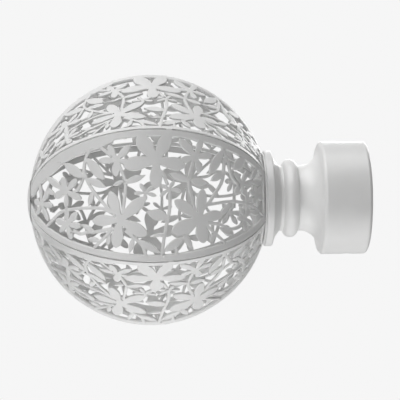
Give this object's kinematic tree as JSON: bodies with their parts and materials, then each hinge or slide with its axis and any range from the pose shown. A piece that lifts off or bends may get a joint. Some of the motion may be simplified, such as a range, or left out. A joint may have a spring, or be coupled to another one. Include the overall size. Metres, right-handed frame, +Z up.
{
  "type": "curtain pole finial",
  "caption": "Openwork ball finial of pierced flower-and-leaf panels on a turned neck and socket, painted satin white, for the end of a 28 mm curtain pole.",
  "frame": {"origin": "middle of the socket's mouth, on the pole axis", "axes": "+X along the pole axis, out of the socket's mouth toward the pole; the ball lies at -X; +Z up; one pierced panel faces -Y"},
  "size_m": [0.1077, 0.0692, 0.0798],
  "materials": {
    "white_paint": "satin white paint",
    "screw_steel": "zinc plated"
  },
  "bodies": {
    "root": {"pierced_panel_1": "white_paint", "pierced_panel_2": "white_paint", "pierced_panel_3": "white_paint", "pierced_panel_4": "white_paint", "pierced_panel_5": "white_paint", "pierced_panel_6": "white_paint", "neck_socket": "white_paint", "tip_button": "white_paint", "grub_screw": "screw_steel"}
  },
  "joints": []
}
